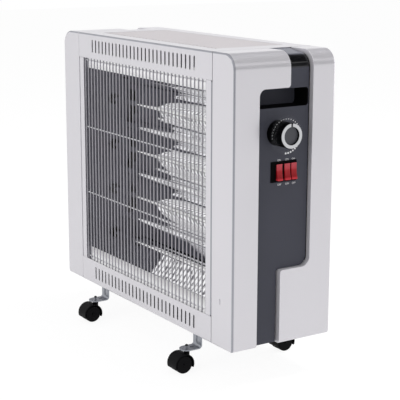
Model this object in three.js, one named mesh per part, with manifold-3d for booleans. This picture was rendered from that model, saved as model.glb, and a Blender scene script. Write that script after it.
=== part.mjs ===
// Quartz heater on four twin-wheel casters: four quartz tubes in front of a troughed reflector,
// behind a wire grille, between two moulded end caps with a carry pocket each.
// Millimetres, +Z up, front towards -Y, controls on the +X end, origin on the floor.
import * as THREE from 'three';
import { mergeVertices } from 'three/addons/utils/BufferGeometryUtils.js';
import Module from 'manifold-3d';

const wasm = await Module();
wasm.setup();

// Fits: the gap between seated pieces, how far a tool passes the face it cuts, how deep welds sink
const gap = 0.3;
const overrun = 5;
const weld = 0.4;

// Body
const bodyWidth = 550;
const bodyDepth = 188;
const bodyHeight = 456;
const groundClearance = 62.5;
const topRadius = 25;
const footRadius = 5;
const edgeRadius = 2.5;
const mouldingWall = 2.5;
const sheet = 1.2;
const capWidth = 58;
const bandHeight = 43.5;
const stileWidth = 16.5;
const foldRadius = 2.5;
const flangeDepth = 12;

// Dark Z-shaped recess down each end cap, measured from the body's front, rear and top
const recessDepth = 8;
const rimDepth = 10.5;
const recessFrontInset = 46.3;
const recessRearInset = 42.3;
const recessTopInset = 54.4;
const upperStripWidth = 42.5;
const lowerStripWidth = 42.9;
const recessStep = 119;
const recessTopRadius = 11;
const recessStepRadius = 15;
const smallCornerRadius = 4.5;
const insertWall = 2.5;
const insertFoot = 1.5;

// Carry pocket
const pocketHeight = 30.1;
const pocketDepth = 35;
const pocketWall = 2;
const pocketRadius = 4;

// Vent slots
const slotPitch = 12.3;
const slotEndRoom = 50;
const slotLength = 22.6;
const slotWidth = 4;

// Top vent panel
const ventEndInset = 36.7;
const ventSideInset = 28;
const ventLap = 6;
const ventCorner = 4;
const ventColumns = 26;
const ventRows = 2;
const ventHoleWidthShare = 0.62;
const ventHoleDepthShare = 0.88;

// Back panel vents
const backSlotPitch = 32;
const backEndRoom = 30;
const backSlotLength = 30;
const backSlotWidth = 5;
const backRowInset = 36;

// Grille
const wirePitch = 11.3;
const wireDiameter = 2.6;
const wireLap = 5;
const crossWireInset = 4.5;
const crossWireCount = 4;

// Heating unit
const tubeCount = 4;
const tubePitch = 83.3;
const tubeSink = 18.7;
const tubeInset = 60;
const tubeDiameter = 9;
const tubeBore = 7.2;
const coilDiameter = 6.4;
const coilWire = 0.9;
const coilCurls = 12;
const curlSteps = 6;
const coldLength = 60;
const coilOverhang = 3;
const shieldStep = 1.8;
const shieldEdge = 12;
const holderCollar = 18.5;
const holderNeck = 12.6;
const holderCollarLength = 5.5;
const holderNeckLength = 8;
const busbarWidth = 9;
const busbarThickness = 1;

// Reflector
const reflectorSheet = 0.8;
const tubeToTrough = 21;
const troughTurn = 59;
const troughSteps = 12;
const crestWidth = 12.9;
const crestSteps = 4;
const tubeToFold = 30;
const foldDrop = 2;
const skirtDrop = 52;
const skirtReach = 28;
const skirtCurve = 0.3;
const skirtSteps = 5;
const lipInset = 9;
const upperLipShow = 18;
const lowerLipShow = 21;
const lipLap = 10;

// Control knob and thermostat
const knobInset = 36.7;
const knobDrop = 68.6;
const knobDiameter = 38.6;
const knobLength = 38;
const knobRingDiameter = 37.2;
const knobRingBore = 27.4;
const knobRingThickness = 2.2;
const knobWell = 3.5;
const knobNotch = 2.6;
const shaftDiameter = 6;
const shaftLength = 26;
const thermostatSize = 34;
const thermostatDepth = 24;

// Rocker switches
const switchInset = 24.7;
const switchLength = 42;
const switchDrop = 110.6;
const switchHeight = 31.5;
const switchProud = 12;
const switchBodyDepth = 14;
const switchLip = 2.2;
const rockerCount = 3;
const rockerWall = 1.4;
const rockerPivotProud = 3.5;
const rockerHalf = 12.4;
const rockerDip = 7.5;
const rockerNose = 10.5;
const rockerHeel = 5;
const rockerTilt = 7;
const rockerPin = 2.4;

// Foot brackets
const bracketInset = 60.7;
const bracketWidth = 24;
const bracketSheet = 2.2;
const bracketDrop = 26.2;
const bracketLegInset = 13;
const bracketBend = 4;
const beadWidth = 7;
const beadDepth = 1.1;

// Casters
const casterReach = 7;
const casterTrail = 11;
const wheelDiameter = 30;
const wheelWidth = 10;
const wheelBore = 4.6;
const wheelRound = 1.6;
const wheelHub = 9;
const wheelDish = 1.5;
const hoodDiameter = 35.6;
const hoodHalfWidth = 13;
const hoodCut = 6;
const hoodWeb = 3.4;
const wheelRoom = 0.9;
const axleDiameter = 4;
const bossDiameter = 9.6;
const pinDiameter = 4.6;
const pinHead = 7.2;
const pinHeadHeight = 3.4;
const pinDepth = 5.4;

// Cord gland in the rear of the right cap
const glandDiameter = 14;
const glandBore = 7.5;
const glandWall = 1.5;
const glandProud = 6;
const glandInset = 29;
const glandZ = 40;

// Slit in the front of the right cap
const slitInset = 34.5;
const slitZ = 74;
const slitWidth = 1.6;
const slitLength = 9;

// Derived places
const half = bodyWidth / 2;
const front = -bodyDepth / 2;
const rear = bodyDepth / 2;
const seam = half - capWidth;
const centreHalf = seam - gap;
const openingHalf = centreHalf - stileWidth;
const openingTop = bodyHeight - bandHeight;
const panelX = half - recessDepth;
const recessFront = front + recessFrontInset;
const recessRear = rear - recessRearInset;
const recessTop = bodyHeight - recessTopInset;
const upperStripFront = recessRear - upperStripWidth;
const lowerStripRear = recessFront + lowerStripWidth;
const pocketFloor = recessTop - pocketHeight;
const shieldX = openingHalf + shieldStep;
const tubeY = front + tubeInset;
const tubeMiddle = (bandHeight + openingTop) / 2 - tubeSink;
const troughY = tubeY + tubeToTrough;
const foldY = tubeY + tubeToFold;
const shieldRear = foldY + reflectorSheet + shieldStep;
const lipY = front + lipInset;
const lipUpper = openingTop - upperLipShow;
const lipLower = bandHeight + lowerLipShow;
const tubeEnd = shieldX + sheet + holderNeckLength;
const coilLead = tubeEnd + coilOverhang;
const coilHalf = shieldX - coldLength;
const slotCount = 2 * Math.floor((centreHalf - slotEndRoom) / slotPitch) + 2;
const backSlotCount = 2 * Math.floor((centreHalf - backEndRoom) / backSlotPitch) + 1;
const wireCount = 2 * Math.floor(openingHalf / wirePitch) + 2;
const ventWidth = 2 * (centreHalf - ventEndInset);
const ventDepth = bodyDepth - 2 * ventSideInset;
const knobY = recessFront + knobInset;
const knobZ = recessTop - knobDrop;
const switchFront = recessFront + switchInset;
const switchRear = switchFront + switchLength;
const switchTop = recessTop - switchDrop;
const switchBottom = switchTop - switchHeight;
const bracketX = centreHalf - bracketInset;
const bracketLegY = rear - bracketLegInset;
const casterY = rear + casterReach;
const wheelRadius = wheelDiameter / 2;
const axleZ = wheelRadius - groundClearance;
const glandX = half - glandInset;
const slitX = half - slitInset;

// Solids and boolean helpers
function solidOf(geometry) {
  const bare = geometry.clone();
  bare.deleteAttribute('normal');
  bare.deleteAttribute('uv');
  const merged = mergeVertices(bare);
  const vertProperties = new Float32Array(merged.attributes.position.array);
  const triVerts = new Uint32Array(merged.index.array);
  return new wasm.Manifold(new wasm.Mesh({ numProp: 3, vertProperties, triVerts }));
}

function geometryOf(solid) {
  const { vertProperties, triVerts } = solid.getMesh();
  const geometry = new THREE.BufferGeometry();
  geometry.setAttribute('position', new THREE.BufferAttribute(vertProperties, 3));
  geometry.setIndex(new THREE.BufferAttribute(triVerts, 1));
  return geometry;
}

function joined(solids) {
  return solids.reduce((whole, next) => whole.add(next));
}

const X = new THREE.Vector3(1, 0, 0);
const Y = new THREE.Vector3(0, 1, 0);
const Z = new THREE.Vector3(0, 0, 1);
const alongXBasis = new THREE.Matrix4().makeBasis(Y, Z, X);
const alongYBasis = new THREE.Matrix4().makeBasis(X, Z, Y.clone().negate());

function extruded(shape, length, curveSegments) {
  return new THREE.ExtrudeGeometry(shape, { depth: length, bevelEnabled: false, curveSegments });
}

// A (y, z) outline run along X
function alongX(shape, from, to, curveSegments = 3) {
  return extruded(shape, to - from, curveSegments).applyMatrix4(alongXBasis).translate(from, 0, 0);
}

// An (x, z) outline run along Y
function alongY(shape, from, to, curveSegments = 3) {
  return extruded(shape, to - from, curveSegments).applyMatrix4(alongYBasis).translate(0, to, 0);
}

// An (x, y) outline run along Z
function alongZ(shape, from, to, curveSegments = 3) {
  return extruded(shape, to - from, curveSegments).translate(0, 0, from);
}

function rectangle(u0, u1, v0, v1) {
  const shape = new THREE.Shape();
  shape.moveTo(u0, v0);
  shape.lineTo(u1, v0);
  shape.lineTo(u1, v1);
  shape.lineTo(u0, v1);
  return shape;
}

function roundedRectangle(u0, u1, v0, v1, radius, leadRadius = radius) {
  const shape = new THREE.Shape();
  shape.moveTo(u0 + radius, v0);
  shape.absarc(u1 - radius, v0 + radius, radius, -Math.PI / 2, 0, false);
  shape.absarc(u1 - radius, v1 - radius, radius, 0, Math.PI / 2, false);
  shape.absarc(u0 + leadRadius, v1 - leadRadius, leadRadius, Math.PI / 2, Math.PI, false);
  shape.absarc(u0 + radius, v0 + radius, radius, Math.PI, Math.PI * 3 / 2, false);
  return shape;
}

// A round-ended slot standing along v
function slot(u, v, width, length, endSteps) {
  const points = [];
  for (const end of [1, -1]) {
    for (let i = 0; i <= endSteps; i++) {
      const angle = Math.PI * i / endSteps;
      const across = Math.cos(angle) * width / 2;
      const up = (length - width) / 2 + Math.sin(angle) * width / 2;
      points.push(new THREE.Vector2(u + end * across, v + end * up));
    }
  }
  return new THREE.Shape(points);
}

function box(x0, x1, y0, y1, z0, z1) {
  return solidOf(alongZ(rectangle(x0, x1, y0, y1), z0, z1));
}

function rod(radius, from, to, axis, sides = 16) {
  const geometry = new THREE.CylinderGeometry(radius, radius, to - from, sides);
  geometry.translate(0, (from + to) / 2, 0);
  if (axis === X) geometry.rotateZ(-Math.PI / 2);
  if (axis === Z) geometry.rotateX(Math.PI / 2);
  return geometry;
}

// A closed profile of [radius, place along the axis] points turned about X, Y or Z
function turned(points, axis, segments) {
  const profile = [...points, points[0]].map(([radius, along]) => new THREE.Vector2(radius, along));
  const geometry = new THREE.LatheGeometry(profile, segments);
  if (axis === X) geometry.rotateZ(-Math.PI / 2);
  if (axis === Z) geometry.rotateX(Math.PI / 2);
  return geometryOf(solidOf(geometry));
}

// An outline of points with its corners bent to a radius, as folded sheet has them
function bent(points, radius, steps = 3) {
  const route = [points[0]];
  for (let i = 1; i < points.length - 1; i++) {
    const corner = points[i];
    const back = points[i - 1].clone().sub(corner).normalize();
    const ahead = points[i + 1].clone().sub(corner).normalize();
    const halfAngle = Math.acos(back.dot(ahead)) / 2;
    const centre = back.clone().add(ahead).setLength(radius / Math.sin(halfAngle)).add(corner);
    const start = back.clone().setLength(radius / Math.tan(halfAngle)).add(corner);
    const turn = Math.sign(ahead.cross(back)) * (Math.PI - 2 * halfAngle);
    for (let k = 0; k <= steps; k++) route.push(start.clone().rotateAround(centre, turn * k / steps));
  }
  route.push(points[points.length - 1]);
  return route;
}

// The route moved to its left by a distance
function offset(route, distance) {
  return route.map((point, i) => {
    const out = route[Math.min(i + 1, route.length - 1)].clone().sub(route[i ? i : 0]);
    const into = point.clone().sub(route[Math.max(i - 1, 0)]);
    if (i === 0) into.copy(out);
    if (i === route.length - 1) out.copy(into);
    into.normalize();
    out.normalize();
    const along = into.clone().add(out).normalize();
    const reach = distance / along.dot(into);
    return new THREE.Vector2(point.x - along.y * reach, point.y + along.x * reach);
  });
}

// Sheet between two distances to the left of a route
function layer(route, near, far) {
  return new THREE.Shape([...offset(route, near), ...offset(route, far).reverse()]);
}

// The same piece for the other end of the heater
function mirrored(geometry) {
  const flipped = geometry.clone().scale(-1, 1, 1);
  const index = flipped.index.array;
  for (let i = 0; i < index.length; i += 3) [index[i], index[i + 1]] = [index[i + 1], index[i]];
  return flipped;
}

// Materials
function material(color, roughness, metalness) {
  return new THREE.MeshStandardMaterial({ color, roughness, metalness });
}

const silver = material(0xdddbe0, 0.4, 0);
const darkPlastic = material(0x4c4c53, 0.45, 0);
const blackPlastic = material(0x151518, 0.4, 0);
const redPlastic = material(0xb01822, 0.3, 0);
const silverPaint = material(0xdedce0, 0.4, 0.2);
const ventPaint = material(0xcfcdcd, 0.5, 0.3);
const shieldPaint = material(0x3a3a40, 0.6, 0.3);
const wirePlate = material(0x9a989e, 0.3, 0.8);
const polished = material(0xf2f2f4, 0.1, 1);
const quartz = material(0xffe0b0, 0.1, 0);
const element = material(0xff9040, 0.4, 0.5);
const ceramic = material(0x111114, 0.6, 0);
const brass = material(0xb08d4a, 0.35, 1);
const steel = material(0xa4a6ad, 0.35, 0.9);
const chrome = material(0xd8dade, 0.15, 1);

const heater = new THREE.Group();
const body = new THREE.Group();
heater.add(body);

function place(name, geometry, look, parent = body) {
  const mesh = new THREE.Mesh(geometry, look);
  mesh.name = name;
  parent.add(mesh);
  return mesh;
}

// End caps: a hollow moulding that rounds over the top, split by the dark recess

// The (x, z) section of the cap, set in from the outer faces by inset
function capSection(inset, foot, from) {
  const outer = half - inset;
  const top = bodyHeight - inset;
  const upper = topRadius - inset;
  const lower = Math.max(footRadius - inset, weld);
  const shape = new THREE.Shape();
  shape.moveTo(from, foot);
  shape.lineTo(outer - lower, foot);
  shape.absarc(outer - lower, foot + lower, lower, -Math.PI / 2, 0, false);
  shape.absarc(outer - upper, top - upper, upper, 0, Math.PI / 2, false);
  shape.lineTo(from, top);
  return shape;
}

function capBlock(inset, foot) {
  return solidOf(alongY(capSection(inset, foot, seam - overrun), front + inset, rear - inset, 3));
}

// The outer block, with its edges rounded all along the front and rear faces
function capOuter() {
  const section = capSection(edgeRadius, edgeRadius, seam - overrun);
  const geometry = new THREE.ExtrudeGeometry(section, {
    depth: bodyDepth - 2 * edgeRadius,
    curveSegments: 3,
    bevelThickness: edgeRadius,
    bevelSize: edgeRadius,
    bevelSegments: 2,
  });
  geometry.applyMatrix4(alongYBasis).translate(0, rear - edgeRadius, 0);
  return solidOf(geometry);
}

// The Z-shaped (y, z) outline of the recess, grown by margin
function recessOutline(margin) {
  const foot = -overrun;
  const top = bodyHeight + overrun;
  const left = recessFront - margin;
  const right = recessRear + margin;
  const inLeft = upperStripFront - margin;
  const inRight = lowerStripRear + margin;
  const high = recessTop + margin;
  const step = recessStep - margin;
  const bigTop = recessTopRadius + margin;
  const bigStep = recessStepRadius + margin;
  const small = smallCornerRadius - margin;
  const shape = new THREE.Shape();
  shape.moveTo(left, foot);
  shape.lineTo(inRight, foot);
  shape.absarc(inRight + small, step - small, small, Math.PI, Math.PI / 2, true);
  shape.absarc(right - bigStep, step + bigStep, bigStep, -Math.PI / 2, 0, false);
  shape.lineTo(right, top);
  shape.lineTo(inLeft, top);
  shape.absarc(inLeft - small, high + small, small, 0, -Math.PI / 2, true);
  shape.absarc(left + bigTop, high - bigTop, bigTop, Math.PI / 2, Math.PI, false);
  return shape;
}

function recessPrism(margin) {
  return solidOf(alongX(recessOutline(margin), seam - overrun, half + overrun, 2));
}

// Everything in front of the middle line of the recess
function frontMask() {
  const lower = (recessFront + lowerStripRear) / 2;
  const upper = (upperStripFront + recessRear) / 2;
  const middle = (recessStep + recessTop) / 2;
  const shape = new THREE.Shape();
  shape.moveTo(front - overrun, -overrun);
  shape.lineTo(lower, -overrun);
  shape.lineTo(lower, middle);
  shape.lineTo(upper, middle);
  shape.lineTo(upper, bodyHeight + overrun);
  shape.lineTo(front - overrun, bodyHeight + overrun);
  return solidOf(alongX(shape, seam - overrun, half + overrun));
}

const capRoom = box(seam, half + overrun, front - overrun, rear + overrun, -overrun, bodyHeight + overrun);
const capShell = capOuter().subtract(capBlock(mouldingWall, mouldingWall));
const capRim = capOuter().subtract(capBlock(rimDepth, -overrun)).intersect(recessPrism(mouldingWall));
const capSkin = capShell.add(capRim).subtract(recessPrism(0)).intersect(capRoom);
const slitTool = solidOf(alongY(slot(slitX, slitZ, slitWidth, slitLength, 2), front - overrun, front + overrun));
const glandTube = glandBore / 2 + glandWall;
const glandHole = solidOf(rod(glandTube + gap, rear - flangeDepth, rear + overrun, Y).translate(glandX, 0, glandZ));
const capFront = capSkin.intersect(frontMask());
const capRear = capSkin.subtract(frontMask());
place('right_cap_front', geometryOf(capFront.subtract(slitTool)), silver);
place('right_cap_rear', geometryOf(capRear.subtract(glandHole)), silver);
place('left_cap_front', mirrored(geometryOf(capFront)), silver);
place('left_cap_rear', mirrored(geometryOf(capRear)), silver);

// Dark inserts: the sunk strip and panel, with the carry pocket let into them
function pocketOutline(margin) {
  return roundedRectangle(
    recessFront + gap + margin, recessRear - gap - margin,
    pocketFloor - pocketWall + margin, recessTop - gap - margin,
    pocketRadius + pocketWall - margin, recessTopRadius - gap - margin);
}

const insertOuter = capBlock(recessDepth, insertFoot);
const insertInner = capBlock(recessDepth + insertWall, insertFoot + insertWall);
const insertSheet = insertOuter.subtract(insertInner).intersect(recessPrism(-gap)).intersect(capRoom);
const pocketBack = panelX - pocketDepth;
const pocketShell = solidOf(alongX(pocketOutline(0), pocketBack - pocketWall, panelX - insertWall / 2, 2));
const pocketHollow = solidOf(alongX(pocketOutline(pocketWall), pocketBack, half, 2));
const plainInsert = insertSheet.add(pocketShell).subtract(pocketHollow);

const shaftHole = solidOf(rod(shaftDiameter / 2 + gap, pocketBack, half, X).translate(0, knobY, knobZ));
const bodyFront = switchFront + switchLip;
const bodyRear = switchRear - switchLip;
const bodyBottom = switchBottom + switchLip;
const bodyTop = switchTop - switchLip;
const switchHole = box(pocketBack, half, bodyFront - gap, bodyRear + gap, bodyBottom - gap, bodyTop + gap);
place('right_insert', geometryOf(plainInsert.subtract(shaftHole).subtract(switchHole)), darkPlastic);
place('left_insert', mirrored(geometryOf(plainInsert)), darkPlastic);

// Cord gland
const gland = turned([
  [glandBore / 2, rear - mouldingWall - glandProud],
  [glandTube, rear - mouldingWall - glandProud],
  [glandTube, rear + gap],
  [glandDiameter / 2, rear + gap],
  [glandTube, rear + glandProud],
  [glandBore / 2, rear + glandProud],
], Y, 12);
place('cord_gland', gland.translate(glandX, 0, glandZ), blackPlastic);

// A row of upright slots across a front band
function slotRow(z) {
  const tools = [];
  for (let i = 0; i < slotCount; i++) {
    const x = (i - (slotCount - 1) / 2) * slotPitch;
    tools.push(solidOf(alongY(slot(x, z, slotWidth, slotLength, 2), front - overrun, front + overrun)));
  }
  return joined(tools);
}

// Top cover, folded down at the front, rear and ends, with the vent opening
const at = (u, v) => new THREE.Vector2(u, v);
const coverRoute = bent(
  [at(rear, openingTop), at(rear, bodyHeight), at(front, bodyHeight), at(front, openingTop)], foldRadius);
const flangeFoot = bodyHeight - flangeDepth;
const flangeTop = bodyHeight - sheet / 2;
const rightFlange = box(centreHalf - sheet, centreHalf, front + sheet / 2, rear - sheet / 2, flangeFoot, flangeTop);
const leftFlange = box(-centreHalf, sheet - centreHalf, front + sheet / 2, rear - sheet / 2, flangeFoot, flangeTop);
const ventEdge = roundedRectangle(-ventWidth / 2, ventWidth / 2, -ventDepth / 2, ventDepth / 2, ventCorner);
const ventOpening = solidOf(alongZ(ventEdge, bodyHeight - overrun, bodyHeight + overrun, 2));
const topCover = solidOf(alongX(layer(coverRoute, 0, sheet), -centreHalf, centreHalf))
  .add(rightFlange).add(leftFlange)
  .subtract(ventOpening).subtract(slotRow(bodyHeight - bandHeight / 2));
place('top_cover', geometryOf(topCover), silverPaint);

// Base tray, folded up at the front and rear
const trayRoute = bent([at(front, bandHeight), at(front, 0), at(rear, 0), at(rear, bandHeight)], foldRadius);
const trayFold = solidOf(alongX(layer(trayRoute, 0, sheet), -centreHalf, centreHalf));
place('base_tray', geometryOf(trayFold.subtract(slotRow(bandHeight / 2))), silverPaint);

// Perforated vent panel lying under the edge of the opening
const ventHalfX = ventWidth / 2 + ventLap;
const ventHalfY = ventDepth / 2 + ventLap;
const ventTop = bodyHeight - sheet - gap;
const ventPlate = box(-ventHalfX, ventHalfX, -ventHalfY, ventHalfY, ventTop - sheet, ventTop);
const ventPitch = ventWidth / ventColumns;
const ventRowDepth = ventDepth / ventRows;
const ventHoleWidth = ventPitch * ventHoleWidthShare;
const ventHoleDepth = ventRowDepth * ventHoleDepthShare;
const ventHoles = [];
for (let i = 0; i < ventColumns; i++) {
  for (let k = 0; k < ventRows; k++) {
    const x = (i - (ventColumns - 1) / 2) * ventPitch - ventHoleWidth / 2;
    const y = (k - (ventRows - 1) / 2) * ventRowDepth - ventHoleDepth / 2;
    ventHoles.push(box(x, x + ventHoleWidth, y, y + ventHoleDepth, ventTop - overrun, ventTop + overrun));
  }
}
place('top_vent', geometryOf(ventPlate.subtract(joined(ventHoles))), ventPaint);

// Back panel with two rows of vents
const backPlate = box(-centreHalf, centreHalf, rear - sheet, rear, bandHeight + gap, openingTop - gap);
const backSlots = [];
for (let i = 0; i < backSlotCount; i++) {
  const x = (i - (backSlotCount - 1) / 2) * backSlotPitch;
  for (const z of [bandHeight + backRowInset, openingTop - backRowInset]) {
    const outline = slot(x, z, backSlotWidth, backSlotLength, 2);
    backSlots.push(solidOf(alongY(outline, rear - overrun, rear + overrun)));
  }
}
place('back_panel', geometryOf(backPlate.subtract(joined(backSlots))), silverPaint);

// Stiles beside the front opening
const stileRoute = bent(
  [at(openingHalf, front), at(centreHalf, front), at(centreHalf, front + flangeDepth)], foldRadius);
const stile = alongZ(layer(stileRoute, 0, sheet), bandHeight + gap, openingTop - gap);
place('right_stile', stile, silverPaint);
place('left_stile', mirrored(geometryOf(solidOf(stile))), silverPaint);

// Wire grille: upright wires welded to cross wires, their ends behind the front bands
const wireRadius = wireDiameter / 2;
const wireY = front + sheet + gap + wireRadius;
const crossY = wireY + wireDiameter - weld;
const uprights = [];
for (let i = 0; i < wireCount; i++) {
  const wire = rod(wireRadius, bandHeight - wireLap, openingTop + wireLap, Z, 5);
  uprights.push(solidOf(wire.translate((i - (wireCount - 1) / 2) * wirePitch, wireY, 0)));
}
const crossSpan = openingTop - bandHeight - 2 * crossWireInset;
const crossReach = shieldX - 2 * gap;
const crossWires = [];
for (let i = 0; i < crossWireCount; i++) {
  const z = bandHeight + crossWireInset + crossSpan * i / (crossWireCount - 1);
  crossWires.push(solidOf(rod(wireRadius, -crossReach, crossReach, X, 5).translate(0, crossY, z)));
}
place('grille', geometryOf(joined(uprights).add(joined(crossWires))), wirePlate);

// Heat shields: the dark inner walls that carry the tube holders
const tubeZ = (i) => tubeMiddle + (i - (tubeCount - 1) / 2) * tubePitch;
const shieldHoles = [];
for (let i = 0; i < tubeCount; i++) {
  const hole = rod(holderNeck / 2 + gap, shieldX - overrun, shieldX + overrun, X, 10);
  shieldHoles.push(solidOf(hole.translate(0, tubeY, tubeZ(i))));
}
const shieldPlate = box(
  shieldX, shieldX + sheet, front + sheet + gap, shieldRear, shieldEdge, bodyHeight - shieldEdge - sheet);
const shield = geometryOf(shieldPlate.subtract(joined(shieldHoles)));
place('right_heat_shield', shield, shieldPaint);
place('left_heat_shield', mirrored(shield), shieldPaint);

// Reflector: one folded sheet with a lip above and below, a round trough wrapped behind each of the
// upper tubes, rolled crests between them, and under the last crest a skirt that curves forward
const troughAngle = THREE.MathUtils.degToRad(troughTurn);
const troughRadius = (tubePitch - crestWidth) / 2 / Math.sin(troughAngle);
const crestRadius = crestWidth / 2 / Math.sin(troughAngle);
const crestY = troughY - (troughRadius + crestRadius) * (1 - Math.cos(troughAngle));
const foldZ = tubeZ(0) - foldDrop;
const reflectorRoute = [at(lipY, bandHeight - lipLap), at(lipY, lipLower)];
for (let k = skirtSteps; k >= 0; k--) {
  const share = k / skirtSteps;
  const reach = share * (1 - skirtCurve + skirtCurve * share);
  reflectorRoute.push(at(foldY - skirtReach * reach, foldZ - skirtDrop * share));
}
for (let i = 1; i < tubeCount; i++) {
  const crestZ = tubeZ(i) - tubePitch / 2;
  for (let k = 0; k <= crestSteps; k++) {
    const angle = troughAngle * (2 * k / crestSteps - 1);
    reflectorRoute.push(at(crestY + crestRadius * (1 - Math.cos(angle)), crestZ + crestRadius * Math.sin(angle)));
  }
  const last = i === tubeCount - 1 ? troughSteps : troughSteps - 1;
  for (let k = 1; k <= last; k++) {
    const angle = troughAngle * (2 * k / troughSteps - 1);
    const z = tubeZ(i) + troughRadius * Math.sin(angle);
    reflectorRoute.push(at(troughY - troughRadius * (1 - Math.cos(angle)), z));
  }
}
reflectorRoute.push(at(lipY, lipUpper), at(lipY, openingTop + lipLap));
const reflectorHalf = shieldX - gap;
place('reflector', alongX(layer(reflectorRoute, 0, -reflectorSheet), -reflectorHalf, reflectorHalf), polished);

// A round wire through a list of points, joined ring to ring with flat ends
function wireThrough(points, radius, sides) {
  const positions = [];
  const index = [];
  const last = points.length - 1;
  const side = Y.clone();
  points.forEach((point, i) => {
    const tangent = points[Math.min(i + 1, last)].clone().sub(points[Math.max(i - 1, 0)]).normalize();
    side.addScaledVector(tangent, -side.dot(tangent)).normalize();
    const up = tangent.clone().cross(side);
    for (let k = 0; k < sides; k++) {
      const angle = 2 * Math.PI * k / sides;
      const spot = point.clone().addScaledVector(side, radius * Math.cos(angle));
      positions.push(...spot.addScaledVector(up, radius * Math.sin(angle)));
      if (i === last) continue;
      const a = i * sides + k;
      const b = i * sides + (k + 1) % sides;
      index.push(a, b, b + sides, a, b + sides, a + sides);
    }
  });
  const end = last * sides;
  for (let k = 1; k < sides - 1; k++) index.push(0, k + 1, k, end, end + k, end + k + 1);
  const geometry = new THREE.BufferGeometry();
  geometry.setAttribute('position', new THREE.Float32BufferAttribute(positions, 3));
  return geometry.setIndex(index);
}

// Heating coil: curls over the hot length, with straight ends out through the tube
const coilRadius = (coilDiameter - coilWire) / 2;
const coilTurnIn = coilHalf + coilDiameter;
const coilPoints = [new THREE.Vector3(-coilLead, 0, coilRadius), new THREE.Vector3(-coilTurnIn, 0, coilRadius)];
for (let i = 0; i <= coilCurls * curlSteps; i++) {
  const angle = 2 * Math.PI * i / curlSteps;
  const x = coilHalf * (2 * i / (coilCurls * curlSteps) - 1);
  coilPoints.push(new THREE.Vector3(x, coilRadius * Math.sin(angle), coilRadius * Math.cos(angle)));
}
coilPoints.push(new THREE.Vector3(coilTurnIn, 0, coilRadius), new THREE.Vector3(coilLead, 0, coilRadius));
let coilGap = Infinity;
for (let i = 0; i < coilPoints.length; i++) {
  for (let k = i + curlSteps / 2; k < coilPoints.length; k++) {
    coilGap = Math.min(coilGap, coilPoints[i].distanceTo(coilPoints[k]) - coilWire);
  }
}
console.log(`heating coil: least gap to itself ${coilGap.toFixed(2)} mm`);

// Quartz tubes, their coils, and the bushes that hold them in the shields
const coil = wireThrough(coilPoints, coilWire / 2, 4);
const tube = turned([
  [tubeBore / 2, -tubeEnd], [tubeDiameter / 2, -tubeEnd], [tubeDiameter / 2, tubeEnd], [tubeBore / 2, tubeEnd],
], X, 16);
const holderFace = shieldX - gap;
const holderBore = tubeDiameter / 2 + gap;
const rightHolder = turned([
  [holderBore, holderFace - holderCollarLength], [holderCollar / 2, holderFace - holderCollarLength],
  [holderCollar / 2, holderFace], [holderNeck / 2, holderFace], [holderNeck / 2, tubeEnd], [holderBore, tubeEnd],
], X, 10);
const leftHolder = mirrored(rightHolder);
for (let i = 0; i < tubeCount; i++) {
  const number = tubeCount - i;
  place(`quartz_tube_${number}`, tube, quartz).position.set(0, tubeY, tubeZ(i));
  place(`heating_coil_${number}`, coil, element).position.set(0, tubeY, tubeZ(i));
  place(`right_tube_holder_${number}`, rightHolder, ceramic).position.set(0, tubeY, tubeZ(i));
  place(`left_tube_holder_${number}`, leftHolder, ceramic).position.set(0, tubeY, tubeZ(i));
}

// Busbars joining the coil ends
const busbarX = coilLead + gap;
const busbar = geometryOf(box(
  busbarX, busbarX + busbarThickness, tubeY - busbarWidth / 2, tubeY + busbarWidth / 2,
  tubeZ(0) - busbarWidth, tubeZ(tubeCount - 1) + busbarWidth));
place('right_busbar', busbar, brass);
place('left_busbar', mirrored(busbar), brass);

// Thermostat behind the panel, with its shaft through it
const thermostatFace = panelX - insertWall - gap;
const thermostatHalf = thermostatSize / 2;
const thermostatBody = box(
  thermostatFace - thermostatDepth, thermostatFace, knobY - thermostatHalf, knobY + thermostatHalf,
  knobZ - thermostatHalf, knobZ + thermostatHalf);
const shaft = rod(shaftDiameter / 2, thermostatFace - weld, panelX + shaftLength, X, 12);
place('thermostat', geometryOf(thermostatBody.add(solidOf(shaft.translate(0, knobY, knobZ)))), steel);

// Knob on the shaft, with a bright split ring on its face and a pointer in the split
const knobRadius = knobDiameter / 2;
const ringRadius = knobRingDiameter / 2;
const wellRadius = knobRingBore / 2;
const knobFace = knobLength - knobRingThickness - gap;
const shaftRoom = shaftDiameter / 2 + gap;
const knobTurned = turned([
  [0, shaftLength + gap], [shaftRoom, shaftLength + gap], [shaftRoom, gap], [knobRadius, gap],
  [knobRadius, knobFace], [wellRadius, knobFace], [wellRadius, knobLength - knobWell], [0, knobLength - knobWell],
], X, 32);
const pointer = box(knobFace - weld, knobLength, -knobNotch / 2, knobNotch / 2, wellRadius + gap, ringRadius - gap);
place('knob', geometryOf(solidOf(knobTurned).add(pointer)), blackPlastic).position.set(panelX, knobY, knobZ);
const ringTurned = turned([
  [wellRadius, knobFace + gap], [ringRadius, knobFace + gap], [ringRadius, knobLength], [wellRadius, knobLength],
], X, 32);
const split = box(knobFace, knobLength + overrun, -knobNotch / 2 - gap, knobNotch / 2 + gap, 0, knobDiameter);
place('knob_ring', geometryOf(solidOf(ringTurned).subtract(split)), chrome).position.set(panelX, knobY, knobZ);

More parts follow.
